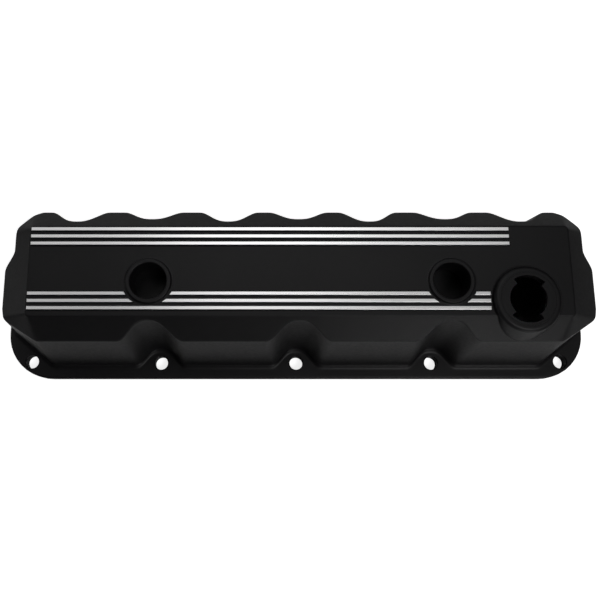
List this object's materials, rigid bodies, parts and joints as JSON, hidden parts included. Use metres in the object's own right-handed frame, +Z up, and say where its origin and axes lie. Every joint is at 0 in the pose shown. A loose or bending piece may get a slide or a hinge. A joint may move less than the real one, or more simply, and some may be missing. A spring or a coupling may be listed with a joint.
{
  "type": "rocker cover",
  "caption": "Long black cast engine rocker cover with bright ribs, scalloped walls, bolt flange, breather holes, bayonet oil filler, gasket and internal oil baffles.",
  "frame": {"origin": "under the middle of the gasket, at the centre of the bounding box's bottom face", "axes": "+X along the cover towards the oil filler, +Y towards the lobed back wall, +Z up through the roof"},
  "size_m": [0.4848, 0.1378, 0.0956],
  "materials": {
    "black_coating": "satin black powder coat on cast aluminium",
    "gasket_rubber": "moulded oil-resistant rubber",
    "bare_aluminium": "bright machined aluminium, on the tops of the roof ribs",
    "zinc_steel": "zinc-plated steel"
  },
  "bodies": {
    "root": {"cover_casting": "black_coating", "filler_bayonet_ring": "black_coating", "gasket": "gasket_rubber", "left_baffle": "black_coating", "right_baffle": "black_coating", "left_baffle_screw_1": "zinc_steel", "left_baffle_screw_2": "zinc_steel", "left_baffle_screw_3": "zinc_steel", "left_baffle_screw_4": "zinc_steel", "left_lock_washer_1": "zinc_steel", "left_lock_washer_2": "zinc_steel", "left_lock_washer_3": "zinc_steel", "left_lock_washer_4": "zinc_steel", "right_baffle_screw_1": "zinc_steel", "right_baffle_screw_2": "zinc_steel", "right_baffle_screw_3": "zinc_steel", "right_baffle_screw_4": "zinc_steel", "right_lock_washer_1": "zinc_steel", "right_lock_washer_2": "zinc_steel", "right_lock_washer_3": "zinc_steel", "right_lock_washer_4": "zinc_steel"}
  },
  "joints": []
}
